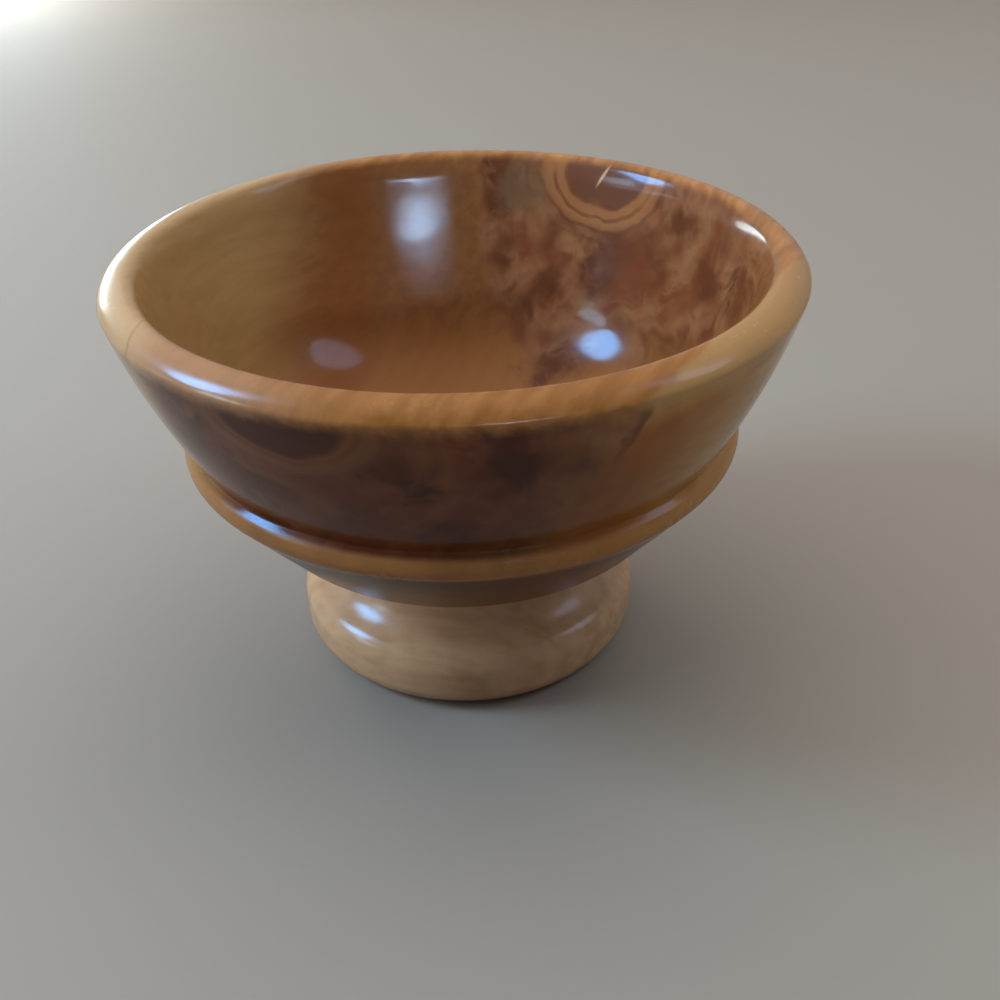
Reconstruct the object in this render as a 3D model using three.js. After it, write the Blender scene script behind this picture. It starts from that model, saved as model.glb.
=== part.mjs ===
// A small turned wooden bowl on a pedestal foot, made as two pieces: a bowl of figured wood with a
// rolled lip and a bead round its outside, and a pale foot. A spigot under the bowl is glued into a
// socket in the foot. Millimetres, +Z up. The origin is on the axis, at the surface the foot stands on.

import * as THREE from 'three';

// Overall size
const rimDiameter = 157.5;
const height = 103;

// Lip: a broad round top with a tight outer edge, and a soft shoulder down to the inside wall
const lipTopRadius = 6.2;
const lipEdgeRadius = 1.3;
const lipEdgeAngle = 32;
const lipInnerRadius = 3.2;
const lipInnerAngle = 152;
const shoulderRadius = 20;
const shoulderAngle = 167;

// Wall: a slow convex curve that starts in line with the lip and ends at the bead
const wallLean = 14.5;
const wallCurveRadius = 165;
const wallBottom = 63.6;

// Bead: a narrow sloping ledge, a crisp edge, and a round flank
const beadDiameter = 134.6;
const beadHeight = 60;
const beadRadius = 3.5;
const beadEdgeAngle = 41;

// Underside: a cone from the bead down to a soft corner, then a shallow shelf in to the foot
const undersideSlope = 38.7;
const cornerHeight = 38.1;
const cornerRadius = 5;

// Inside: a slow concave wall and a round knee down to a flat floor
const insideCurveRadius = 190;
const floorHeight = 44;
const kneeRadius = 36;

// Foot: a base band with round edges, then a cove up to the neck
const footHeight = 33;
const footDiameter = 87.8;
const lowerEdgeRadius = 6.4;
const upperEdgeRadius = 6;
const upperEdgeHeight = 11;
const neckDiameter = 64.6;
const coveRadius = 12.5;
const coveTopAngle = 165;
const recessDiameter = 56;
const recessTaper = 1;
const recessDepth = 2.5;

// Joint between the two pieces
const glueGap = 0.3;
const spigotDiameter = 45;
const spigotLength = 8;

// Facets
const segmentsAround = 60;
const arcStep = 15;
const slowArcStep = 4;

const rimRadius = rimDiameter / 2;
const footRadius = footDiameter / 2;
const neckRadius = neckDiameter / 2;
const spigotRadius = spigotDiameter / 2;
const recessRadius = recessDiameter / 2;

function point(radius, z) {
  return new THREE.Vector2(radius, z);
}

// The point at an angle round a centre: 0 degrees points away from the axis, 90 degrees up
function around(centre, radius, degrees) {
  const angle = THREE.MathUtils.degToRad(degrees);
  return point(centre.x + radius * Math.cos(angle), centre.y + radius * Math.sin(angle));
}

// Points along an arc, its ends included
function arc(centre, radius, from, to, step = arcStep) {
  const count = Math.ceil(Math.abs(to - from) / step);
  const points = [];
  for (let i = 0; i <= count; i += 1) {
    points.push(around(centre, radius, from + (to - from) * i / count));
  }
  return points;
}

function angleOf(centre, target) {
  const degrees = THREE.MathUtils.radToDeg(Math.atan2(target.y - centre.y, target.x - centre.x));
  return degrees < 0 ? degrees + 360 : degrees;
}

// The arc that rounds the corner between the lines before-corner and corner-after
function roundedCorner(before, corner, after, radius) {
  const toBefore = before.clone().sub(corner).normalize();
  const toAfter = after.clone().sub(corner).normalize();
  const halfAngle = Math.acos(toBefore.dot(toAfter)) / 2;
  const middle = toBefore.clone().add(toAfter).normalize();
  const centre = corner.clone().addScaledVector(middle, radius / Math.sin(halfAngle));
  const start = corner.clone().addScaledVector(toBefore, radius / Math.tan(halfAngle));
  const end = corner.clone().addScaledVector(toAfter, radius / Math.tan(halfAngle));
  return arc(centre, radius, angleOf(centre, start), angleOf(centre, end));
}

// Turns an outline, which runs from the axis at the bottom round to the axis at the top, into a mesh
function turned(name, outline, colour, roughness) {
  const geometry = new THREE.LatheGeometry(outline, segmentsAround);
  geometry.rotateX(Math.PI / 2);
  const material = new THREE.MeshStandardMaterial({ color: colour, roughness, metalness: 0 });
  const mesh = new THREE.Mesh(geometry, material);
  mesh.name = name;
  return mesh;
}

// The seam face where the bowl sits on the foot is as wide as the top of the foot's cove
function footCurves() {
  const edge = point(footRadius - upperEdgeRadius, upperEdgeHeight);
  const coveX = neckRadius + coveRadius;
  const rise = Math.sqrt((coveRadius + upperEdgeRadius) ** 2 - (coveX - edge.x) ** 2);
  const cove = point(coveX, edge.y + rise);
  const coveTop = around(cove, coveRadius, coveTopAngle);
  const flare = Math.tan(THREE.MathUtils.degToRad(180 - coveTopAngle));
  const seamRadius = coveTop.x + (footHeight - coveTop.y) * flare;
  return { edge, cove, seamRadius };
}

function bowlOutline() {
  const seam = point(footCurves().seamRadius, footHeight + glueGap);
  const spigotEnd = seam.y - spigotLength;

  const bead = point(beadDiameter / 2 - beadRadius, beadHeight);
  const coneTop = around(bead, beadRadius, -undersideSlope);
  const coneSlope = Math.tan(THREE.MathUtils.degToRad(undersideSlope));
  const corner = point(coneTop.x - (coneTop.y - cornerHeight) * coneSlope, cornerHeight);

  const lipReach = around(point(0, 0), lipTopRadius - lipEdgeRadius, lipEdgeAngle);
  const lipTop = point(rimRadius - lipEdgeRadius - lipReach.x, height - lipTopRadius);
  const lipEdge = point(lipTop.x + lipReach.x, lipTop.y + lipReach.y);
  const lipInner = point(lipTop.x, height - lipInnerRadius);
  const wall = around(lipEdge, lipEdgeRadius - wallCurveRadius, -wallLean);
  const wallEndAngle = THREE.MathUtils.radToDeg(Math.asin((wallBottom - wall.y) / wallCurveRadius));

  const shoulder = around(lipInner, lipInnerRadius - shoulderRadius, lipInnerAngle);
  const inside = around(shoulder, shoulderRadius + insideCurveRadius, shoulderAngle);
  const kneeReach = insideCurveRadius - kneeRadius;
  const kneeZ = floorHeight + kneeRadius;
  const knee = point(inside.x + Math.sqrt(kneeReach ** 2 - (inside.y - kneeZ) ** 2), kneeZ);
  const kneeAngle = angleOf(inside, knee) - 360;

  return [
    point(0, spigotEnd),
    point(spigotRadius, spigotEnd),
    point(spigotRadius, seam.y),
    seam,
    ...roundedCorner(seam, corner, coneTop, cornerRadius),
    ...arc(bead, beadRadius, -undersideSlope, beadEdgeAngle),
    ...arc(wall, wallCurveRadius, wallEndAngle, -wallLean, slowArcStep),
    ...arc(lipEdge, lipEdgeRadius, -wallLean, lipEdgeAngle).slice(1),
    ...arc(lipTop, lipTopRadius, lipEdgeAngle, 90).slice(1),
    ...arc(lipInner, lipInnerRadius, 90, lipInnerAngle).slice(1),
    ...arc(shoulder, shoulderRadius, lipInnerAngle, shoulderAngle, slowArcStep).slice(1),
    ...arc(inside, insideCurveRadius, shoulderAngle - 180, kneeAngle, slowArcStep).slice(1),
    ...arc(knee, kneeRadius, kneeAngle, -90).slice(1),
    point(0, floorHeight),
  ];
}

function footOutline() {
  const { edge, cove, seamRadius } = footCurves();
  const lowerEdge = point(footRadius - lowerEdgeRadius, lowerEdgeRadius);
  const socketRadius = spigotRadius + glueGap;
  const socketFloor = footHeight - spigotLength;
  const tangentAngle = angleOf(edge, cove);
  return [
    point(0, recessDepth),
    point(recessRadius - recessTaper, recessDepth),
    point(recessRadius, 0),
    ...arc(lowerEdge, lowerEdgeRadius, -90, 0),
    ...arc(edge, upperEdgeRadius, 0, tangentAngle),
    ...arc(cove, coveRadius, tangentAngle + 180, coveTopAngle).slice(1),
    point(seamRadius, footHeight),
    point(socketRadius, footHeight),
    point(socketRadius, socketFloor),
    point(0, socketFloor),
  ];
}

const pedestalBowl = new THREE.Group();
pedestalBowl.add(turned('bowl', bowlOutline(), '#7d4826', 0.3));
pedestalBowl.add(turned('foot', footOutline(), '#c9a482', 0.35));

export default pedestalBowl;
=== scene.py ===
from math import acos, asin, atan2, ceil, cos, degrees, pi, radians, sin, sqrt, tan
import bmesh
import bpy
from mathutils import Matrix, Vector


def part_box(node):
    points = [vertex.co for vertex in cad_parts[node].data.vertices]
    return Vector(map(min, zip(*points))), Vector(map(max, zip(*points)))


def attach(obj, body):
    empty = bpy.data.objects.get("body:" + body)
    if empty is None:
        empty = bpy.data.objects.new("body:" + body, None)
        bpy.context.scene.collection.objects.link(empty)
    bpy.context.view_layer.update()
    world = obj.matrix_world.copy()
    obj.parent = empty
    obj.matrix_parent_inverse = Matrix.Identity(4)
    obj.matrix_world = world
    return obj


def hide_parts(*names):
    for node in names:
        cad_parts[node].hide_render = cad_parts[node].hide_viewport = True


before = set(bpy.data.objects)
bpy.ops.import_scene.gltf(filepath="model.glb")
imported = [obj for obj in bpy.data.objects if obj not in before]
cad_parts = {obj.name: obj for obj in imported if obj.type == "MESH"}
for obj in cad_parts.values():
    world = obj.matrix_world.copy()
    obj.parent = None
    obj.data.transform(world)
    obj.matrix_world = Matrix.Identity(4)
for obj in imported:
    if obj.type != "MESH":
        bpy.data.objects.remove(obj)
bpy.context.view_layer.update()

# A turned bowl of figured wood on a pale foot. Metres in Blender, +Z up, the turning axis is Z.
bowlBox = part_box("bowl")
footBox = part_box("foot")
mm = 0.001

# outlines, in millimetres: (distance from the axis, height)
bowlShape = {
    "rimRadius": bowlBox[1].x / mm,
    "rimTop": bowlBox[1].z / mm,
    "lipTopRadius": 6.2,
    "lipEdgeRadius": 1.3,
    "lipEdgeAngle": 32,
    "lipInnerRadius": 3.2,
    "lipInnerAngle": 152,
    "shoulderRadius": 20,
    "shoulderAngle": 167,
    "wallLean": 14.5,
    "wallCurveRadius": 165,
    "wallBottom": 63.6,
    "valleySoftness": 0.5,
    "beadRadius": 67.3,
    "beadHeight": 60,
    "beadRound": 3.5,
    "beadEdgeAngle": 41,
    "beadEdgeSoftness": 0.3,
    "undersideSlope": 38.7,
    "cornerHeight": 38.1,
    "cornerRound": 5,
    "insideCurveRadius": 190,
    "floorHeight": 44,
    "kneeRound": 36,
    "spigotRadius": 22.5,
    "spigotEnd": bowlBox[0].z / mm,
}

footShape = {
    "top": footBox[1].z / mm,
    "radius": footBox[1].x / mm,
    "lowerEdgeRound": 6.4,
    "upperEdgeRound": 6,
    "upperEdgeHeight": 11,
    "neckRadius": 32.3,
    "coveRound": 12.5,
    "coveTopAngle": 165,
    "glueGap": 0.3,
    "jointLine": 0.06,
    "jointSoftness": 0.15,
    "recessRadius": 28,
    "recessTaper": 1,
    "recessDepth": 2.5,
    "socketRadius": 22.8,
    "socketDepth": 8,
    "softness": 0.4,
}

turning = {"around": 256, "arcStep": 5, "slowArcStep": 1, "kneeStep": 4, "cornerStep": 15, "weld": 1e-6}


def around(centre, radius, angle):
    return (centre[0] + radius * cos(radians(angle)), centre[1] + radius * sin(radians(angle)))


def arc(centre, radius, start, end, step=turning["arcStep"]):
    count = max(1, ceil(abs(end - start) / step))
    return [around(centre, radius, start + (end - start) * i / count) for i in range(count + 1)]


def angleOf(centre, target):
    return degrees(atan2(target[1] - centre[1], target[0] - centre[0])) % 360


def roundedCorner(before, corner, after, radius):
    at = Vector(corner[:2])
    toBefore = (Vector(before[:2]) - at).normalized()
    toAfter = (Vector(after[:2]) - at).normalized()
    half = acos(max(-1, min(1, toBefore.dot(toAfter)))) / 2
    centre = at + (toBefore + toAfter).normalized() * (radius / sin(half))
    first = angleOf(centre, at + toBefore * (radius / tan(half)))
    last = angleOf(centre, at + toAfter * (radius / tan(half)))
    sweep = (last - first + 180) % 360 - 180  # the short way round
    return arc(centre, radius, first, first + sweep, turning["cornerStep"])


def softened(outline):  # a point with a third value is a corner, rounded by that radius
    points = []
    for i, p in enumerate(outline):
        points += roundedCorner(outline[i - 1], p, outline[i + 1], p[2]) if len(p) == 3 else [p]
    return points


def footCurves(s):
    edge = (s["radius"] - s["upperEdgeRound"], s["upperEdgeHeight"])
    coveX = s["neckRadius"] + s["coveRound"]
    reach = s["coveRound"] + s["upperEdgeRound"]
    cove = (coveX, edge[1] + sqrt(reach ** 2 - (coveX - edge[0]) ** 2))
    coveTop = around(cove, s["coveRound"], s["coveTopAngle"])
    seamRadius = coveTop[0] + (s["top"] - coveTop[1]) * tan(radians(180 - s["coveTopAngle"]))
    return edge, cove, seamRadius


def bowlOutline(s, seamRadius, seamHeight):
    seam = (seamRadius, seamHeight)
    bead = (s["beadRadius"] - s["beadRound"], s["beadHeight"])
    coneTop = around(bead, s["beadRound"], -s["undersideSlope"])
    drop = coneTop[1] - s["cornerHeight"]
    corner = (coneTop[0] - drop * tan(radians(s["undersideSlope"])), s["cornerHeight"])
    reach = around((0, 0), s["lipTopRadius"] - s["lipEdgeRadius"], s["lipEdgeAngle"])
    lipTop = (s["rimRadius"] - s["lipEdgeRadius"] - reach[0], s["rimTop"] - s["lipTopRadius"])
    lipEdge = (lipTop[0] + reach[0], lipTop[1] + reach[1])
    lipInner = (lipTop[0], s["rimTop"] - s["lipInnerRadius"])
    wall = around(lipEdge, s["lipEdgeRadius"] - s["wallCurveRadius"], -s["wallLean"])
    wallEnd = degrees(asin((s["wallBottom"] - wall[1]) / s["wallCurveRadius"]))
    shoulder = around(lipInner, s["lipInnerRadius"] - s["shoulderRadius"], s["lipInnerAngle"])
    inside = around(shoulder, s["shoulderRadius"] + s["insideCurveRadius"], s["shoulderAngle"])
    kneeReach = s["insideCurveRadius"] - s["kneeRound"]
    kneeZ = s["floorHeight"] + s["kneeRound"]
    knee = (inside[0] + sqrt(kneeReach ** 2 - (inside[1] - kneeZ) ** 2), kneeZ)
    kneeAngle = angleOf(inside, knee) - 360
    flank = arc(bead, s["beadRound"], -s["undersideSlope"], s["beadEdgeAngle"])
    outside = arc(wall, s["wallCurveRadius"], wallEnd, -s["wallLean"], turning["slowArcStep"])
    innerLip = arc(lipInner, s["lipInnerRadius"], 90, s["lipInnerAngle"])
    down = arc(shoulder, s["shoulderRadius"], s["lipInnerAngle"], s["shoulderAngle"],
               turning["slowArcStep"])
    insideWall = arc(inside, s["insideCurveRadius"], s["shoulderAngle"] - 180, kneeAngle,
                     turning["slowArcStep"])
    return softened([
        (0, s["spigotEnd"]),
        (s["spigotRadius"], s["spigotEnd"]),
        (s["spigotRadius"], seamHeight),
        seam,
        *roundedCorner(seam, corner, coneTop, s["cornerRound"]),
        *flank[:-1],
        (*flank[-1], s["beadEdgeSoftness"]),
        (*outside[0], s["valleySoftness"]),
        *outside[1:-1],
        *arc(lipEdge, s["lipEdgeRadius"], -s["wallLean"], s["lipEdgeAngle"]),
        *arc(lipTop, s["lipTopRadius"], s["lipEdgeAngle"], 90)[1:],
        *innerLip[1:],
        *down[1:],
        *insideWall[1:-1],
        *arc(knee, s["kneeRound"], kneeAngle, -90, turning["kneeStep"]),
        (0, s["floorHeight"]),
    ])


def footOutline(s, seamRadius):
    edge, cove, _ = footCurves(s)
    lowerEdge = (s["radius"] - s["lowerEdgeRound"], s["lowerEdgeRound"])
    tangent = angleOf(edge, cove)
    top = s["top"] + s["glueGap"] - s["jointLine"]
    return softened([
        (0, s["recessDepth"]),
        (s["recessRadius"] - s["recessTaper"], s["recessDepth"], s["softness"]),
        (s["recessRadius"], 0, s["softness"]),
        *arc(lowerEdge, s["lowerEdgeRound"], -90, 0),
        *arc(edge, s["upperEdgeRound"], 0, tangent),
        *arc(cove, s["coveRound"], tangent + 180, s["coveTopAngle"])[1:],
        (seamRadius, top, s["jointSoftness"]),
        (s["socketRadius"], top),
        (s["socketRadius"], s["top"] - s["socketDepth"]),
        (0, s["top"] - s["socketDepth"]),
    ])


def profileObject(name, outline):
    mesh = bpy.data.meshes.new(name)
    points = [(x * mm, 0, z * mm) for x, z in outline]
    mesh.from_pydata(points, [(i, i + 1) for i in range(len(points) - 1)], [])
    profile = bpy.data.objects.new(name, mesh)
    bpy.context.scene.collection.objects.link(profile)
    return profile


# turning by Geometry Nodes: a grid whose rows follow the profile and whose columns go round the axis
def nodeIn(tree, kind, settings=None, **sockets):
    node = tree.nodes.new(kind)
    for key, value in (settings or {}).items():
        setattr(node, key, value)
    for key, value in sockets.items():
        plug(tree, node.inputs[key.replace("_", " ")], value)
    return node


def plug(tree, socket, value):
    if isinstance(value, bpy.types.NodeSocket):
        tree.links.new(value, socket)
    elif socket.type == "RGBA":
        socket.default_value = (*value, 1)
    else:
        socket.default_value = value


def calc(tree, operation, *values):
    node = tree.nodes.new("ShaderNodeMath")
    node.operation = operation
    for socket, value in zip(node.inputs, values):
        plug(tree, socket, value)
    return node.outputs[0]


def smooth(tree, value, low, high):  # nought below low, one above high, with a soft step between
    node = nodeIn(tree, "ShaderNodeMapRange", {"interpolation_type": "SMOOTHSTEP"}, Value=value)
    plug(tree, node.inputs["From Min"], low)
    plug(tree, node.inputs["From Max"], high)
    return node.outputs["Result"]


def blend(tree, factor, first, second):
    node = tree.nodes.new("ShaderNodeMix")
    node.data_type = "RGBA"
    for socket, value in ((0, factor), (6, first), (7, second)):  # the colour sockets of a mix
        plug(tree, node.inputs[socket], value)
    return node.outputs[2]


def lathe():
    tree = bpy.data.node_groups.new("turn a profile", "GeometryNodeTree")
    for label, kind in (("Geometry", "Geometry"), ("Profile", "Object"), ("Points", "Int"),
                        ("Segments", "Int"), ("Material", "Material")):
        tree.interface.new_socket(label, in_out="INPUT", socket_type="NodeSocket" + kind)
    tree.interface.new_socket("Geometry", in_out="OUTPUT", socket_type="NodeSocketGeometry")
    given = tree.nodes.new("NodeGroupInput").outputs
    columns = calc(tree, "ADD", given["Segments"], 1)
    grid = nodeIn(tree, "GeometryNodeMeshGrid", Vertices_X=columns, Vertices_Y=given["Points"])
    index = tree.nodes.new("GeometryNodeInputIndex").outputs[0]
    column = calc(tree, "FLOOR", calc(tree, "DIVIDE", calc(tree, "ADD", index, 0.5), given["Points"]))
    row = calc(tree, "SUBTRACT", index, calc(tree, "MULTIPLY", column, given["Points"]))
    profile = nodeIn(tree, "GeometryNodeObjectInfo", Object=given["Profile"])
    where = nodeIn(tree, "GeometryNodeSampleIndex", {"data_type": "FLOAT_VECTOR"},
                   Geometry=profile.outputs["Geometry"], Index=row)
    tree.links.new(tree.nodes.new("GeometryNodeInputPosition").outputs[0], where.inputs["Value"])
    split = nodeIn(tree, "ShaderNodeSeparateXYZ", Vector=where.outputs[0])
    turn = calc(tree, "MULTIPLY", calc(tree, "DIVIDE", column, given["Segments"]), 2 * pi)
    place = nodeIn(tree, "ShaderNodeCombineXYZ", Z=split.outputs["Z"],
                   X=calc(tree, "MULTIPLY", split.outputs["X"], calc(tree, "COSINE", turn)),
                   Y=calc(tree, "MULTIPLY", split.outputs["X"], calc(tree, "SINE", turn)))
    turned = nodeIn(tree, "GeometryNodeSetPosition", Geometry=grid.outputs["Mesh"],
                    Position=place.outputs[0])
    closed = nodeIn(tree, "GeometryNodeMergeByDistance", Geometry=turned.outputs[0],
                    Distance=turning["weld"])
    real = nodeIn(tree, "GeometryNodeRealizeInstances", Geometry=closed.outputs[0])
    finished = nodeIn(tree, "GeometryNodeSetMaterial", Geometry=real.outputs[0],
                      Material=given["Material"])
    tree.links.new(finished.outputs[0], tree.nodes.new("NodeGroupOutput").inputs[0])
    return tree


def setInput(modifier, name, value):  # a modifier's input goes by its identifier
    for item in modifier.node_group.interface.items_tree:
        if item.item_type == "SOCKET" and item.in_out == "INPUT" and item.name == name:
            modifier[item.identifier] = value


def turnedPiece(name, outline, material, tree):
    profile = profileObject(name + "Profile", outline)
    holder = bpy.data.objects.new(name + "Holder", bpy.data.meshes.new(name + "Holder"))
    bpy.context.scene.collection.objects.link(holder)
    modifier = holder.modifiers.new("turning", "NODES")
    modifier.node_group = tree
    setInput(modifier, "Profile", profile)
    setInput(modifier, "Points", len(outline))
    setInput(modifier, "Segments", turning["around"])
    setInput(modifier, "Material", material)
    evaluated = holder.evaluated_get(bpy.context.evaluated_depsgraph_get())
    mesh = bpy.data.meshes.new_from_object(evaluated)
    mesh.name = name
    piece = bpy.data.objects.new(name, mesh)
    bpy.context.scene.collection.objects.link(piece)
    for helper in (holder, profile):
        bpy.data.objects.remove(helper)
    faceOutwards(mesh)
    print("turned", name, len(mesh.polygons), "faces")
    return piece


def faceOutwards(mesh):
    shell = bmesh.new()
    shell.from_mesh(mesh)
    bmesh.ops.recalc_face_normals(shell, faces=shell.faces)
    if shell.calc_volume(signed=True) < 0:
        bmesh.ops.reverse_faces(shell, faces=shell.faces)
    for face in shell.faces:
        face.smooth = True
    shell.to_mesh(mesh)
    shell.free()


# shader groups; places and sizes in them are in millimetres of the piece's own coordinates
def scaled(tree, vector, factor):
    node = nodeIn(tree, "ShaderNodeVectorMath", {"operation": "SCALE"}, Vector=vector, Scale=factor)
    return node.outputs["Vector"]


def vectors(tree, operation, first, second=(0, 0, 0)):
    node = tree.nodes.new("ShaderNodeVectorMath")
    node.operation = operation
    plug(tree, node.inputs[0], first)
    plug(tree, node.inputs[1], second)
    return node.outputs["Value" if operation in ("DOT_PRODUCT", "LENGTH") else "Vector"]


def noise(tree, place, size, detail=2.0, roughness=0.5, output="Fac"):
    cell = calc(tree, "DIVIDE", 1, size)
    node = nodeIn(tree, "ShaderNodeTexNoise", Vector=place, Scale=cell, Detail=detail, Roughness=roughness)
    return node.outputs[output]


def centred(tree, place, size, detail=2.0):  # a noise vector about nought
    return vectors(tree, "SUBTRACT", noise(tree, place, size, detail, output="Color"), (0.5, 0.5, 0.5))


def warped(tree, place, size, amount, detail=1.0):  # places pushed about by a soft noise
    return vectors(tree, "ADD", place, scaled(tree, centred(tree, place, size, detail), amount))


def outOf(tree, vector, letter):
    return nodeIn(tree, "ShaderNodeSeparateXYZ", Vector=vector).outputs[letter]


def times(tree, first, *others):
    for other in others:
        first = calc(tree, "MULTIPLY", first, other)
    return first


def turnedAbout(tree, axis, place, angle, centre=(0, 0, 0)):
    return nodeIn(tree, "ShaderNodeVectorRotate", {"rotation_type": axis}, Vector=place, Angle=angle,
                  Center=centre).outputs[0]


def effect(name, takes, gives):
    tree = bpy.data.node_groups.new(name, "ShaderNodeTree")
    for label, value in takes.items():
        kind = "NodeSocketVector" if isinstance(value, tuple) else "NodeSocketFloat"
        tree.interface.new_socket(label, in_out="INPUT", socket_type=kind).default_value = value
    for label in gives:
        tree.interface.new_socket(label, in_out="OUTPUT", socket_type="NodeSocketFloat")
    return tree, tree.nodes.new("NodeGroupInput").outputs, tree.nodes.new("NodeGroupOutput").inputs


def use(tree, group, **sockets):
    node = tree.nodes.new("ShaderNodeGroup")
    node.node_tree = group
    for key, value in sockets.items():
        plug(tree, node.inputs[key.replace("_", " ")], value)
    return node.outputs


knotLook = {
    "wobbleSize": 12,
    "wobbleShare": 4,
    "coreEdge": (1.1, 0.9),
    "bandStart": (0.95, 1.15),
    "bandEnd": (1.75, 1.4),
    "ringLine": (0.1, 1.0),
    "breakSize": 9,
    "breakEdge": (0.25, 0.6),
    "fullDepth": 0.7,
}


def woodKnot(s):  # the dark end of a branch with a pale band and rings round it
    tree, given, out = effect("wood knot", {
        "Place": (0, 0, 0), "Centre": (0, 0, 0), "Direction": (0, 1, 0), "Core": 8.0, "Flatness": 1.0,
        "Wander": 1.2, "Ring Spacing": 3.5, "Reach": 24.0, "Depth": 30.0},
        ["Core", "Pale Band", "Rings"])
    offset = vectors(tree, "SUBTRACT", given["Place"], given["Centre"])
    stretch = nodeIn(tree, "ShaderNodeCombineXYZ", X=1, Y=1, Z=given["Flatness"]).outputs[0]
    offset = vectors(tree, "MULTIPLY", offset, stretch)
    depth = vectors(tree, "DOT_PRODUCT", offset, given["Direction"])
    across = vectors(tree, "SUBTRACT", offset, scaled(tree, given["Direction"], depth))
    wobble = calc(tree, "SUBTRACT", noise(tree, given["Place"], s["wobbleSize"]), 0.5)
    wander = times(tree, given["Wander"], s["wobbleShare"], wobble)
    distance = calc(tree, "ADD", vectors(tree, "LENGTH", across), wander)
    share = calc(tree, "DIVIDE", distance, given["Core"])
    deepest = times(tree, given["Depth"], -1)
    near = smooth(tree, depth, deepest, times(tree, deepest, s["fullDepth"]))
    core = smooth(tree, share, *s["coreEdge"])
    band = times(tree, smooth(tree, share, *s["bandStart"]), smooth(tree, share, *s["bandEnd"]))
    turn = times(tree, calc(tree, "DIVIDE", distance, given["Ring Spacing"]), 2 * pi)
    lines = smooth(tree, calc(tree, "SINE", turn), *s["ringLine"])
    fade = times(tree, smooth(tree, distance, given["Reach"], given["Core"]),
                 smooth(tree, noise(tree, given["Place"], s["breakSize"]), *s["breakEdge"]))
    plug(tree, out["Core"], times(tree, core, near))
    plug(tree, out["Pale Band"], times(tree, band, near))
    plug(tree, out["Rings"], times(tree, lines, fade, near))
    return tree


patchLook = {"raggedSize": 5, "raggedShare": 2, "edge": (1.0, 0.35)}


def softPatch(s):  # a cloudy spot of its own three half widths, one in the middle and nought outside
    tree, given, out = effect("soft patch", {
        "Place": (0, 0, 0), "Centre": (0, 0, 0), "Half Widths": (10, 10, 10), "Ragged": 0.6}, ["Mask"])
    offset = vectors(tree, "DIVIDE", vectors(tree, "SUBTRACT", given["Place"], given["Centre"]),
                     given["Half Widths"])
    uneven = calc(tree, "SUBTRACT", noise(tree, given["Place"], s["raggedSize"], 3), 0.5)
    ragged = times(tree, given["Ragged"], s["raggedShare"], uneven)
    away = calc(tree, "ADD", vectors(tree, "LENGTH", offset), ragged)
    plug(tree, out["Mask"], smooth(tree, away, *s["edge"]))
    return tree


# shares of the figure's own size and swirl, and where each part of it shows
figureLook = {
    "slowSize": 1.3,
    "slowSwirl": 2,
    "quickSize": 0.4,
    "quickSwirl": 0.5,
    "wispSize": 0.42,
    "patchSize": 0.8,
    "patchEdge": (0.3, 0.65),
    "veinEdge": (0.14, 0.0),
    "wispEdge": (0.13, 0.0),
    "blotchRoughness": 0.45,
    "blotchEdge": (0.34, 0.68),
}


def swirledFigure(s):  # cloudy marbling, as smoke curls
    tree, given, out = effect("swirled figure", {"Place": (0, 0, 0), "Size": 15.0, "Swirl": 8.0},
                              ["Veins", "Wisps", "Blotches"])
    place, size, swirl = given["Place"], given["Size"], given["Swirl"]
    bent = warped(tree, place, times(tree, size, s["slowSize"]), times(tree, swirl, s["slowSwirl"]))
    bent = warped(tree, bent, times(tree, size, s["quickSize"]), times(tree, swirl, s["quickSwirl"]))
    body = calc(tree, "SUBTRACT", noise(tree, bent, size), 0.5)
    fine = calc(tree, "SUBTRACT", noise(tree, bent, times(tree, size, s["wispSize"])), 0.5)
    patch = smooth(tree, noise(tree, place, times(tree, size, s["patchSize"]), 1), *s["patchEdge"])
    veins = smooth(tree, calc(tree, "ABSOLUTE", body), *s["veinEdge"])
    wisps = smooth(tree, calc(tree, "ABSOLUTE", fine), *s["wispEdge"])
    cloud = noise(tree, bent, size, roughness=s["blotchRoughness"])
    plug(tree, out["Veins"], times(tree, veins, patch))
    plug(tree, out["Wisps"], times(tree, wisps, patch))
    plug(tree, out["Blotches"], smooth(tree, cloud, *s["blotchEdge"]))
    return tree


grainLook = {
    "bendSize": 30,
    "bend": 7,
    "streakStretch": (0.09, 1, 1),
    "streakEdge": (0.25, 0.75),
    "streakHeight": 0.35,
    "poreStretch": (0.16, 1, 1),
    "poreEdge": (0.62, 0.76),
}


def woodGrain(s):  # long soft streaks and short fine pores along the fibres
    tree, given, out = effect("wood grain", {"Place": (0, 0, 0), "Turn": 0.0, "Streak": 2.8, "Pore": 0.25},
                              ["Streaks", "Pores", "Height"])
    turned = turnedAbout(tree, "Z_AXIS", given["Place"], given["Turn"])
    bent = warped(tree, turned, s["bendSize"], s["bend"])
    streaks = noise(tree, vectors(tree, "MULTIPLY", bent, s["streakStretch"]), given["Streak"])
    short = noise(tree, vectors(tree, "MULTIPLY", bent, s["poreStretch"]), given["Pore"], 1)
    pores = smooth(tree, short, *s["poreEdge"])
    plug(tree, out["Streaks"], smooth(tree, streaks, *s["streakEdge"]))
    plug(tree, out["Pores"], pores)
    plug(tree, out["Height"], calc(tree, "SUBTRACT", times(tree, streaks, s["streakHeight"]), pores))
    return tree


polishLook = {
    "handSize": 15,
    "hand": 1.4,
    "rubSize": 2.2,
    "rubRoughness": 0.6,
    "rub": 0.9,
    "ringSize": 0.9,
    "ringHeight": 0.018,
}


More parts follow.
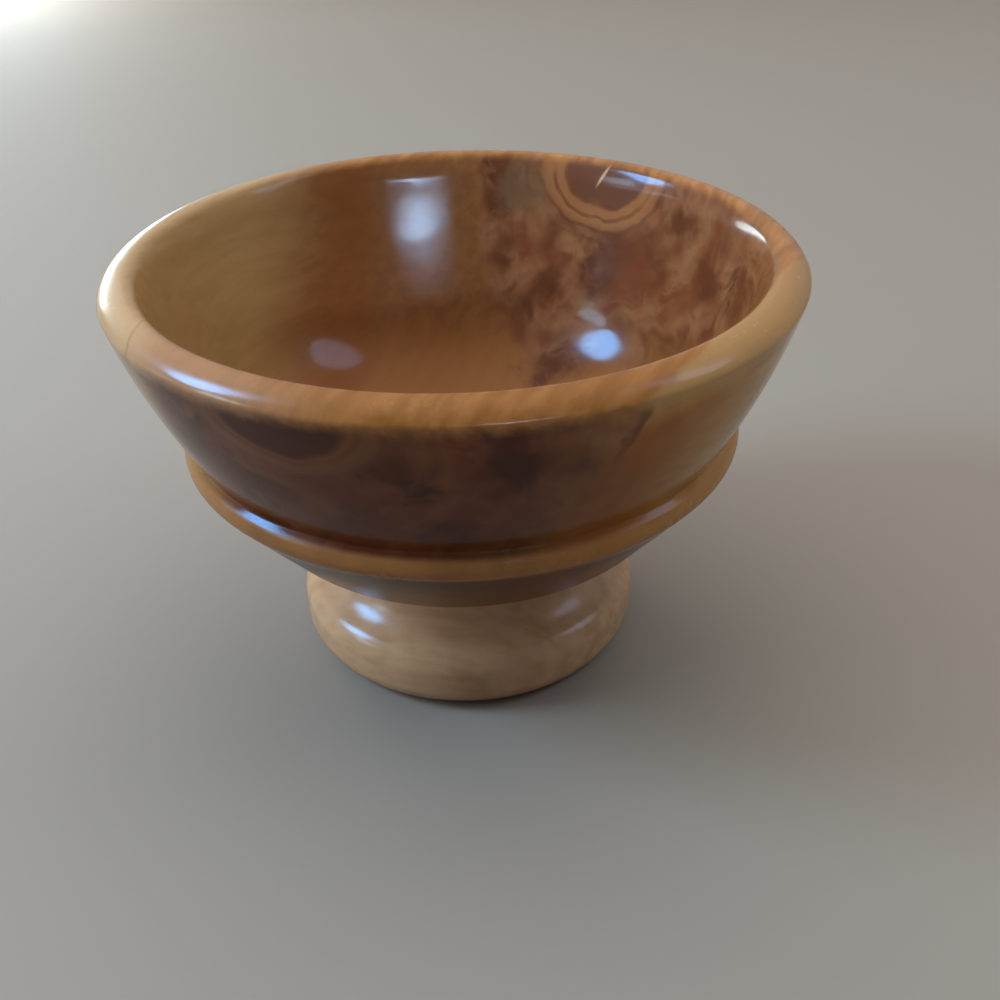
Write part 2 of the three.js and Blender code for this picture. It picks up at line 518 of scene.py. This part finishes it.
def rubbedPolish(s):  # an oiled, hand rubbed surface that still shows faint rings from turning
    tree, given, out = effect("rubbed polish", {"Place": (0, 0, 0), "Gloss": 0.17, "Change": 0.07},
                              ["Roughness", "Height"])
    height = outOf(tree, given["Place"], "Z")
    radius = vectors(tree, "LENGTH", vectors(tree, "MULTIPLY", given["Place"], (1, 1, 0)))
    ring = nodeIn(tree, "ShaderNodeCombineXYZ", X=radius, Y=height).outputs[0]
    toolMarks = noise(tree, ring, s["ringSize"])
    hand = noise(tree, given["Place"], s["handSize"])
    rub = noise(tree, given["Place"], s["rubSize"], 3, s["rubRoughness"])
    change = calc(tree, "ADD", times(tree, calc(tree, "SUBTRACT", hand, 0.5), s["hand"]),
                  times(tree, calc(tree, "SUBTRACT", rub, 0.5), s["rub"]))
    change = times(tree, change, given["Change"])
    plug(tree, out["Roughness"], calc(tree, "ADD", given["Gloss"], change))
    plug(tree, out["Height"], calc(tree, "MULTIPLY_ADD", toolMarks, s["ringHeight"], hand))
    return tree


def paint(code):  # a screen colour such as "a88350" as the renderer's own numbers
    parts = [int(code[i:i + 2], 16) / 255 for i in (0, 2, 4)]
    return tuple(p / 12.92 if p <= 0.04045 else ((p + 0.055) / 1.055) ** 2.4 for p in parts)


finish = {"ior": 1.34, "specular": 0.42}  # thin wax over oil


def newMaterial(name):
    material = bpy.data.materials.new(name)
    material.use_nodes = True
    tree = material.node_tree
    shader = tree.nodes["Principled BSDF"]
    shader.inputs["IOR"].default_value = finish["ior"]
    shader.inputs["Specular IOR Level"].default_value = finish["specular"]
    place = scaled(tree, tree.nodes.new("ShaderNodeTexCoord").outputs["Object"], 1 / mm)
    return material, tree, shader, place


def finishSurface(tree, shader, place, colour, grain, look, dull=0):
    gloss = calc(tree, "MULTIPLY_ADD", dull, look["dull"], look["gloss"]) if dull else look["gloss"]
    polish = use(tree, polishGroup, Place=place, Gloss=gloss)
    tree.links.new(colour, shader.inputs["Base Color"])
    tree.links.new(polish["Roughness"], shader.inputs["Roughness"])
    waves = nodeIn(tree, "ShaderNodeBump", Strength=1, Distance=look["waveDepth"] * mm,
                   Height=polish["Height"])
    fibres = nodeIn(tree, "ShaderNodeBump", Strength=1, Distance=look["grainDepth"] * mm,
                    Height=grain["Height"], Normal=waves.outputs[0])
    tree.links.new(fibres.outputs[0], shader.inputs["Normal"])


def painted(look):
    return {key: paint(value) for key, value in look.items() if isinstance(value, str)}


bowlWoodLook = {
    "plain": "946034",
    # painted light: the inside floor, where it faces up, is painted lighter
    "plainLitFloor": "a86c3a",
    "redBand": "8a4e22",
    "plainShade": "855530",
    "heart": "824a2d",
    "heartShade": "6a3c25",
    "heartPale": "ac784e",
    # darker copies of the heart's colours for the front: partly the heart's own tone, partly painted shade
    # on the front wall
    "shadedFrontHeart": "662f18",
    "shadedFrontDark": "46200f",
    "shadedFrontPale": "7c482a",
    "sapLeft": "ae8552",
    "sapLeftStreak": "a67d4a",
    "sapRight": "b98546",
    "sapRightLow": "94521e",
    "boundary": "4c2c1a",
    "knotCore": "784c37",
    "knotBand": "b07548",
    # darker copies of the knot's colours for the knot on the front wall: partly its own tone, partly
    # painted shade
    "shadedFrontCore": "4a2413",
    "shadedFrontBand": "845232",
    "crack": "d8b088",
    "olive": "8b7351",
    "redDark": "5e331d",
    # the rim is painted paler, partly painted light where it faces up; its front copy is darker, painted
    # shade
    "rim": "c2834e",
    "rimStreak": "a56c36",
    "shadedFrontRim": "ac703b",
    "shadedFrontRimStreak": "945d2a",
    "rimLeft": "b98a66",
    "rimTan": "ac7e4c",
    "rimCream": "c69e72",
    # the bead's colour: partly its own paler wood, partly painted light and sheen where it faces up
    "bead": "b67a42",
    # painted shade on the underside below the bead, partly its darker end grain
    "shadedEndGrain": "4e2612",
    "pore": "3a1d10",
    "gloss": 0.12,
    "dull": 0.14,
    "waveDepth": 0.12,
    "grainDepth": 0.01,
}

bowlWoodAmounts = {
    "plainRings": 0.14,
    "plainLitFloor": 0.8,
    "heartWisps": 0.35,
    "heartVeins": 0.6,
    "heartRings": 0.25,
    "sapStreaks": 0.35,
    "sapRings": 0.12,
    "boundary": 0.7,
    "redBand": 0.6,
    "knotBand": 0.8,
    "knotRings": 0.55,
    "knotCore": 0.92,
    "frontKnot": 0.6,
    "shadedEndGrain": 0.75,
    "rimLeft": 0.75,
    "rimLine": 0.25,
    "rim": 0.9,
    "beadLeast": 0.25,
    "beadPatches": 0.8,
    "pores": 0.16,
}

# the tree's middle runs across the bowl just under the rim; places and sizes are in millimetres.
# A warp is a cloud's size, its push and its detail; heartEnd and heartFull are a reach and what the
# right side adds to it
bowlFigure = {
    "slowWarp": (26, 9, 2.0),
    "quickWarp": (7, 4, 3.0),
    "middle": (-32, -70, 98.5),
    "alongMiddle": (0.51, 0.86, 0),
    "besideMiddle": (0.86, -0.51, 0),
    "narrowing": {"right": 0.35, "front": -0.08},
    "flattening": {"all": 0.7, "right": 0.2, "front": -0.22},
    "heartEnd": (39, 4),
    "heartFull": (34, -5),
    "heartRagged": 7,
    "heartRaggedSize": 6,
    "ringSpacing": 3.8,
    "ringBreakSize": 14,
    "sapLineBreakSize": 12,
    "fibreTurn": -59,
    "sapRight": ((0.818, -0.576, -0.42), 26.8),
    "sapRightSoftness": (8, -7),
    "outerFaceLean": -0.36,
    "sapLeft": ((-1.0, 0.16, 0.0), 54.0),
    "rimMiddle": 74,
    "rimLean": 0.6,
    "rimFeather": 0.9,
    "rimLineShift": 2,
    "beadPatchSize": 10,
    "backKnot": {"Centre": (43.1, 57.5, 102.4), "Direction": (0.6, 0.8, 0), "Core": 11.8,
                 "Flatness": 1.17, "Reach": 30, "Ring Spacing": 3.7, "Wander": 1.7},
    "frontKnot": {"Centre": (-32.5, -70, 98.5), "Direction": (-0.42, -0.907, 0), "Core": 12.5,
                  "Flatness": 1.5, "Reach": 34, "Ring Spacing": 4.6, "Wander": 1.6, "Depth": 6},
    "crack": {"Centre": (70, 0, 99.6), "Half Widths": (3.6, 0.6, 4.6), "Ragged": 0.1},
    "crackTurn": -54.1,
    "crackLean": -27,
    "olivePatches": [((20, 65, 94), (12, 9, 9), 0.45)],
    "redPatches": [((61, 35, 93), (9, 9, 6), 0.75), ((64, 20, 84), (7, 8, 7), 0.6),
                   ((27, 54, 70), (7, 7, 7), 0.55), ((13, 62, 78), (5, 6, 8), 0.5)],
}

# where each part of the figure fades in: nought at the first value and one at the second
bowlFades = {
    "front": (75, 40),
    "right": (-6, 10),
    "ringLine": (0, 1),
    "ringBreak": (0.35, 0.65),
    "litFloorHeight": (62, 48),
    "litFloorRadius": (62, 56),
    "upper": (80, 92),
    "sapRightPale": (2, 14),
    "sapRightTop": (90, 99),
    "outerFace": (37.7, 40.2),
    "sapLine": (1.0, 0.2),
    "sapLineBreak": (0.3, 0.55),
    "redBandStart": (-26, -15),
    "redBandEnd": (-5, -13),
    "sapLeft": (-8, 6),
    "underTop": (57.5, 54),
    "underBottom": (33, 35),
    "underCone": (-2, 2),
    "rim": (98.6, 103.2),
    "rimLeft": (-15, -50),
    "rimLine": (0.6, 0.1),
    "beadRadius": (64.6, 65.8),
    "beadHeight": (3.2, 2.0),
    "wornHeight": (100.5, 101.9),
    "wornRadius": (72.5, 74.5),
}


def lay(tree, below, mask, amount, above):  # one colour over another by a share of a mask
    return blend(tree, calc(tree, "MULTIPLY", mask, amount), below, above)


def patchesOver(tree, colour, place, patches, paintOver):
    for centre, halfWidths, amount in patches:
        patch = use(tree, patchGroup, Place=place, Centre=centre, Half_Widths=halfWidths)["Mask"]
        colour = lay(tree, colour, patch, amount, paintOver)
    return colour


def marbledHeart(tree, c, much, figure, place, slow, rings, front):
    marble = use(tree, figureGroup, Place=place)
    # towards the front the heart takes its darker copies: partly its own tone, partly painted shade on the
    # front wall
    heart = blend(tree, front, c["heart"], c["shadedFrontHeart"])
    shade = blend(tree, front, c["heartShade"], c["shadedFrontDark"])
    pale = blend(tree, front, c["heartPale"], c["shadedFrontPale"])
    colour = blend(tree, marble["Blotches"], heart, shade)
    colour = lay(tree, colour, marble["Wisps"], much["heartWisps"], pale)
    colour = lay(tree, colour, marble["Veins"], much["heartVeins"], pale)
    colour = lay(tree, colour, rings, much["heartRings"], shade)
    colour = patchesOver(tree, colour, slow, figure["olivePatches"], c["olive"])
    return patchesOver(tree, colour, slow, figure["redPatches"], c["redDark"])


def bowlWood(look, much, figure, fades):
    c = painted(look)
    material, tree, shader, place = newMaterial("bowl wood")
    slow = warped(tree, place, *figure["slowWarp"])
    wavy = warped(tree, place, *figure["quickWarp"])
    height = outOf(tree, place, "Z")
    radius = vectors(tree, "LENGTH", vectors(tree, "MULTIPLY", place, (1, 1, 0)))
    grain = use(tree, grainGroup, Place=place, Turn=radians(figure["fibreTurn"]))
    streaks = grain["Streaks"]

    # distance from the tree's middle: the dark heart reaches further to the right and low at the front
    offset = vectors(tree, "SUBTRACT", slow, figure["middle"])
    front = smooth(tree, vectors(tree, "DOT_PRODUCT", offset, figure["alongMiddle"]), *fades["front"])
    beside = vectors(tree, "DOT_PRODUCT", offset, figure["besideMiddle"])
    right = smooth(tree, beside, *fades["right"])
    narrow = figure["narrowing"]
    narrowing = times(tree, right, calc(tree, "MULTIPLY_ADD", front, narrow["front"], narrow["right"]))
    beside = times(tree, beside, calc(tree, "SUBTRACT", 1, narrowing))
    flat = figure["flattening"]
    flattening = calc(tree, "MULTIPLY_ADD", right, flat["right"], flat["all"])
    flattening = calc(tree, "MULTIPLY_ADD", front, flat["front"], flattening)
    below = times(tree, outOf(tree, offset, "Z"), flattening)
    away = vectors(tree, "LENGTH", nodeIn(tree, "ShaderNodeCombineXYZ", X=beside, Y=below).outputs[0])
    turn = times(tree, away, 2 * pi / figure["ringSpacing"])
    rings = times(tree, smooth(tree, calc(tree, "SINE", turn), *fades["ringLine"]),
                  smooth(tree, noise(tree, place, figure["ringBreakSize"]), *fades["ringBreak"]))

    # plain wood with long streaks, then the marbled heart
    colour = blend(tree, streaks, c["plainShade"], c["plain"])
    # painted light: the floor of the inside, where it faces up, is painted lighter
    low = times(tree, smooth(tree, height, *fades["litFloorHeight"]), smooth(tree, radius, *fades["litFloorRadius"]))
    colour = lay(tree, colour, low, much["plainLitFloor"], c["plainLitFloor"])
    colour = lay(tree, colour, rings, much["plainRings"], c["plainShade"])
    marbled = marbledHeart(tree, c, much, figure, place, slow, rings, front)
    ragged = figure["heartRagged"]
    edge = calc(tree, "MULTIPLY_ADD", noise(tree, place, figure["heartRaggedSize"], 3), ragged,
                calc(tree, "SUBTRACT", away, ragged / 2))
    (end, endRight), (full, fullRight) = figure["heartEnd"], figure["heartFull"]
    inHeart = smooth(tree, edge, calc(tree, "MULTIPLY_ADD", right, endRight, end),
                     calc(tree, "MULTIPLY_ADD", right, fullRight, full))
    colour = blend(tree, inHeart, colour, marbled)

    # pale sapwood to the right, behind a thin dark line that fades lower down
    upper = smooth(tree, height, *fades["upper"])
    normal, limit = figure["sapRight"]
    beyond = calc(tree, "SUBTRACT", vectors(tree, "DOT_PRODUCT", wavy, normal), limit)
    lowSoftness, upperSoftness = figure["sapRightSoftness"]
    softness = calc(tree, "MULTIPLY_ADD", upper, upperSoftness, lowSoftness)
    inSapRight = smooth(tree, beyond, times(tree, softness, -1), softness)
    pale = calc(tree, "MAXIMUM", smooth(tree, beyond, *fades["sapRightPale"]),
                smooth(tree, height, *fades["sapRightTop"]))
    sap = blend(tree, pale, c["sapRightLow"], c["sapRight"])
    sap = lay(tree, sap, streaks, much["sapStreaks"], c["sapRightLow"])
    sap = lay(tree, sap, rings, much["sapRings"], c["boundary"])
    colour = blend(tree, inSapRight, colour, sap)
    outerFace = smooth(tree, calc(tree, "MULTIPLY_ADD", height, figure["outerFaceLean"], radius),
                       *fades["outerFace"])
    broken = smooth(tree, noise(tree, place, figure["sapLineBreakSize"]), *fades["sapLineBreak"])
    line = times(tree, smooth(tree, calc(tree, "ABSOLUTE", beyond), *fades["sapLine"]), broken,
                 outerFace, upper)
    colour = lay(tree, colour, line, much["boundary"], c["boundary"])

    # golden sapwood to the left, past a redder band
    normal, limit = figure["sapLeft"]
    beyond = calc(tree, "SUBTRACT", vectors(tree, "DOT_PRODUCT", slow, normal), limit)
    redBand = times(tree, smooth(tree, beyond, *fades["redBandStart"]),
                    smooth(tree, beyond, *fades["redBandEnd"]), calc(tree, "SUBTRACT", 1, inHeart))
    colour = lay(tree, colour, redBand, much["redBand"], c["redBand"])
    inSapLeft = smooth(tree, beyond, *fades["sapLeft"])
    sap = blend(tree, streaks, c["sapLeftStreak"], c["sapLeft"])
    colour = blend(tree, inSapLeft, colour, sap)

    # knots at both ends of the tree's middle; the front one takes darker copies of the knot colours, partly
    # painted shade on the front wall
    for knot, core, band, strength in (
            (figure["backKnot"], "knotCore", "knotBand", 1),
            (figure["frontKnot"], "shadedFrontCore", "shadedFrontBand", much["frontKnot"])):
        mark = use(tree, knotGroup, Place=place, **knot)
        colour = lay(tree, colour, mark["Pale Band"], much["knotBand"] * strength, c[band])
        colour = lay(tree, colour, mark["Rings"], much["knotRings"] * strength, c["boundary"])
        colour = lay(tree, colour, mark["Core"], much["knotCore"], c[core])
    turned = turnedAbout(tree, "Z_AXIS", place, radians(figure["crackTurn"]))
    turned = turnedAbout(tree, "X_AXIS", turned, radians(figure["crackLean"]), figure["crack"]["Centre"])
    crack = use(tree, patchGroup, Place=turned, **figure["crack"])["Mask"]
    colour = blend(tree, crack, colour, c["crack"])

    # painted shade: under the bead the downward-facing cut across the fibres is painted darker, partly its
    # own end grain and partly the shade there
    under = times(tree, smooth(tree, height, *fades["underTop"]),
                  smooth(tree, height, *fades["underBottom"]),
                  smooth(tree, calc(tree, "SUBTRACT", radius, height), *fades["underCone"]),
                  much["shadedEndGrain"])
    colour = blend(tree, under, colour, c["shadedEndGrain"])

    # the rim, with short streaks across it, and the bead are painted paler: partly their own paler wood,
    # partly painted light where they face up; the rim's front is painted darker, painted shade
    outwards = calc(tree, "SUBTRACT", radius, figure["rimMiddle"])
    rise = calc(tree, "MULTIPLY_ADD", outwards, figure["rimLean"], height)
    feather = calc(tree, "MULTIPLY_ADD", calc(tree, "SUBTRACT", streaks, 0.5), figure["rimFeather"], rise)
    onRim = smooth(tree, feather, *fades["rim"])
    rim = blend(tree, streaks, blend(tree, front, c["rimStreak"], c["shadedFrontRimStreak"]),
                blend(tree, front, c["rim"], c["shadedFrontRim"]))
    onLeft = smooth(tree, outOf(tree, slow, "X"), *fades["rimLeft"])
    rim = lay(tree, rim, onLeft, much["rimLeft"], c["rimLeft"])
    rim = blend(tree, inSapRight, rim, c["rimTan"])
    rim = blend(tree, inSapLeft, rim, c["rimCream"])
    across = calc(tree, "SUBTRACT", vectors(tree, "DOT_PRODUCT", wavy, normal),
                  limit + figure["rimLineShift"])
    line = times(tree, smooth(tree, calc(tree, "ABSOLUTE", across), *fades["rimLine"]), front)
    rim = lay(tree, rim, line, much["rimLine"], c["boundary"])
    colour = lay(tree, colour, onRim, much["rim"], rim)
    # the bead is laid over paler in patches: partly its own wood, partly painted light where it faces up
    fromBead = calc(tree, "ABSOLUTE", calc(tree, "SUBTRACT", height, bowlShape["beadHeight"]))
    onBead = times(tree, smooth(tree, radius, *fades["beadRadius"]),
                   smooth(tree, fromBead, *fades["beadHeight"]))
    patchy = calc(tree, "MULTIPLY_ADD", noise(tree, place, figure["beadPatchSize"], 3),
                  much["beadPatches"], much["beadLeast"])
    colour = lay(tree, colour, onBead, patchy, c["bead"])

    colour = lay(tree, colour, grain["Pores"], much["pores"], c["pore"])
    onTop = times(tree, smooth(tree, height, *fades["wornHeight"]),
                  smooth(tree, radius, *fades["wornRadius"]))
    worn = calc(tree, "MAXIMUM", calc(tree, "MAXIMUM", onBead, under), onTop)
    finishSurface(tree, shader, place, colour, grain, look, worn)
    return material


footWoodLook = {
    "pale": "dcae82",
    "shade": "ca986a",
    "warm": "e4b488",
    "pore": "8a6446",
    "gloss": 0.19,
    "waveDepth": 0.12,
    "grainDepth": 0.01,
    "fibreTurn": 20,
    "streak": 3.2,
    "mottle": 0.5,
    "mottleSize": 8,
    "mottleRoughness": 0.55,
    "mottleEdge": (0.35, 0.68),
    "pores": 0.2,
}


def footWood(look):
    c = painted(look)
    material, tree, shader, place = newMaterial("foot wood")
    grain = use(tree, grainGroup, Place=place, Turn=radians(look["fibreTurn"]), Streak=look["streak"])
    colour = blend(tree, grain["Streaks"], c["shade"], c["pale"])
    cloud = noise(tree, place, look["mottleSize"], 3, look["mottleRoughness"])
    mottle = smooth(tree, cloud, *look["mottleEdge"])
    colour = lay(tree, colour, mottle, look["mottle"], c["warm"])
    colour = lay(tree, colour, grain["Pores"], look["pores"], c["pore"])
    finishSurface(tree, shader, place, colour, grain, look)
    return material


# camera at the photograph's angle
cameraPlace = {
    "location": (0, -0.23806, 0.19006),
    "pitchDown": 33.44,
    "yawRight": 2.12,
    "roll": -1.24,
    "lens": 39.19,
    "sensor": 36,
    "clipStart": 0.01,
}


def placeCamera(c):
    data = bpy.data.cameras.new("camera")
    data.lens = c["lens"]
    data.sensor_width = c["sensor"]
    data.clip_start = c["clipStart"]
    camera = bpy.data.objects.new("camera", data)
    bpy.context.scene.collection.objects.link(camera)
    turn = Matrix.Rotation(-radians(c["yawRight"]), 4, "Z")
    tilt = Matrix.Rotation(radians(90 - c["pitchDown"]), 4, "X")
    roll = Matrix.Rotation(radians(c["roll"]), 4, "Z")
    camera.matrix_world = Matrix.Translation(c["location"]) @ turn @ tilt @ roll
    bpy.context.scene.camera = camera


# soft lamps: azimuth from the camera's side, minus to its left; level is how bright the panel looks,
# and shine is what a gloss mirrors of it, from a second panel just in front
lamps = {
    "left window": {"azimuth": -91, "elevation": 35, "distance": 1.1, "size": (0.34, 0.4), "level": 17,
                    "shape": "ELLIPSE", "colour": (0.52, 0.74, 1.0),
                    "shine": {"size": (0.36, 0.42), "level": 36, "colour": (0.15, 0.47, 1.0)}},
    "left curtain": {"azimuth": -83, "elevation": 21, "distance": 1.1, "size": (0.42, 0.24), "level": 6,
                     "colour": (0.7, 0.84, 1.0),
                     "shine": {"azimuth": -75, "elevation": 22, "size": (0.26, 0.16), "level": 12,
                               "colour": (0.45, 0.76, 1.0)}},
    "left sill": {"azimuth": -85, "elevation": 14.5, "distance": 1.1, "size": (0.62, 0.05), "level": 9,
                  "colour": (0.7, 0.84, 1.0),
                  "shine": {"size": (0.62, 0.03), "level": 8, "colour": (0.5, 0.76, 1.0)}},
    "right window": {"azimuth": 86, "elevation": 41, "distance": 1.2, "size": (0.36, 0.62), "level": 2.8,
                     "shape": "ELLIPSE", "colour": (0.62, 0.76, 1.0),
                     "shine": {"level": 3.4, "colour": (0.46, 0.62, 1.0)}},
    "back left window": {"azimuth": -148, "elevation": 4, "distance": 1.3, "size": (0.5, 0.22), "level": 10,
                         "shine": {"level": 14, "colour": (0.75, 0.93, 1.0)}},
    "ceiling": {"azimuth": 180, "elevation": 75, "distance": 1.7, "size": (2.6, 2.6), "level": 1.3,
                "inGloss": False},
    "front strip": {"azimuth": 15, "elevation": 13, "distance": 0.4, "size": (0.23, 0.014), "level": 1.9,
                    "target": (-0.01, 0.066, 0.088), "shape": "ELLIPSE", "spread": 34,
                    "colour": (0.58, 0.77, 1.0),
                    "shine": {"elevation": 12, "spread": 27, "level": 1.5,
                              "target": (-0.013, 0.066, 0.096), "colour": (0.43, 0.66, 1.0)}},
}
lampCommon = {"target": (0, 0, 0.07), "colour": (0.9, 0.95, 1.0), "shape": "RECTANGLE", "spread": 180}
shineGap = 0.01
room = {
    "frontColour": (0.10, 0.10, 0.11),
    "backColour": (0.36, 0.37, 0.39),
    "seenColour": (0.62, 0.62, 0.61),
    "fromFrontToBack": (-0.6, 0.5),
}
floorLook = {"half": 4, "roughness": 0.8, "seen": (0.35, 0.29, 0.225), "bounced": (0.2, 0.17, 0.135)}


def placeLamp(name, s):
    s = {**lampCommon, **s}
    data = bpy.data.lights.new(name, "AREA")
    data.shape = s["shape"]
    width, height = s["size"]
    data.size, data.size_y = width, height
    data.spread = radians(s["spread"])
    data.energy = s["level"] * pi * width * height
    data.color = s["colour"]
    lamp = bpy.data.objects.new(name, data)
    lamp.visible_diffuse = s.get("inDiffuse", True)
    lamp.visible_glossy = s.get("inGloss", True)
    a, e = radians(s["azimuth"]), radians(s["elevation"])
    away = Vector((sin(a) * cos(e), -cos(a) * cos(e), sin(e)))
    lamp.location = Vector(s["target"]) + away * s["distance"]
    lamp.rotation_mode = "QUATERNION"
    lamp.rotation_quaternion = away.to_track_quat("Z", "Y")
    bpy.context.scene.collection.objects.link(lamp)


def showToEye(tree):  # one where a ray from the camera, a gloss or a glass arrives
    path = tree.nodes.new("ShaderNodeLightPath").outputs
    seen = calc(tree, "MAXIMUM", path["Is Camera Ray"], path["Is Glossy Ray"])
    return calc(tree, "MAXIMUM", seen, path["Is Transmission Ray"])


def placeRoom(s):
    world = bpy.data.worlds.new("room")
    world.use_nodes = True
    tree = world.node_tree
    background = tree.nodes["Background"]
    direction = tree.nodes.new("ShaderNodeTexCoord").outputs["Generated"]
    back = smooth(tree, outOf(tree, direction, "Y"), *s["fromFrontToBack"])
    walls = blend(tree, back, s["frontColour"], s["backColour"])
    camera = tree.nodes.new("ShaderNodeLightPath").outputs["Is Camera Ray"]
    tree.links.new(blend(tree, camera, walls, s["seenColour"]), background.inputs["Color"])
    bpy.context.scene.world = world


def placeFloor(s):
    mesh = bpy.data.meshes.new("floor")
    half = s["half"]
    mesh.from_pydata([(-half, -half, 0), (half, -half, 0), (half, half, 0), (-half, half, 0)], [],
                     [(0, 1, 2, 3)])
    floor = bpy.data.objects.new("floor", mesh)
    material = bpy.data.materials.new("pale floor")
    material.use_nodes = True
    tree = material.node_tree
    shader = tree.nodes["Principled BSDF"]
    tree.links.new(blend(tree, showToEye(tree), s["bounced"], s["seen"]), shader.inputs["Base Color"])
    shader.inputs["Roughness"].default_value = s["roughness"]
    mesh.materials.append(material)
    bpy.context.scene.collection.objects.link(floor)


placeCamera(cameraPlace)
placeRoom(room)
placeFloor(floorLook)
for lampName, lampValues in lamps.items():
    if "shine" in lampValues:
        placeLamp(lampName, {**lampValues, "inGloss": False})
        placeLamp(lampName + " shine", {**lampValues, **lampValues["shine"], "inDiffuse": False,
                                        "distance": lampValues["distance"] - shineGap})
    else:
        placeLamp(lampName, lampValues)
print("camera, floor and lamps placed")

knotGroup = woodKnot(knotLook)
patchGroup = softPatch(patchLook)
figureGroup = swirledFigure(figureLook)
grainGroup = woodGrain(grainLook)
polishGroup = rubbedPolish(polishLook)
bowlMaterial = bowlWood(bowlWoodLook, bowlWoodAmounts, bowlFigure, bowlFades)
footMaterial = footWood(footWoodLook)
print("wood materials made")

latheTree = lathe()
seamRadius = footCurves(footShape)[2]
seamHeight = footShape["top"] + footShape["glueGap"]
bowl = turnedPiece("turnedBowl", bowlOutline(bowlShape, seamRadius, seamHeight), bowlMaterial, latheTree)
foot = turnedPiece("turnedFoot", footOutline(footShape, seamRadius), footMaterial, latheTree)

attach(bowl, "root")
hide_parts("bowl")
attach(foot, "root")
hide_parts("foot")

scene = bpy.context.scene
scene.view_settings.view_transform = "Standard"
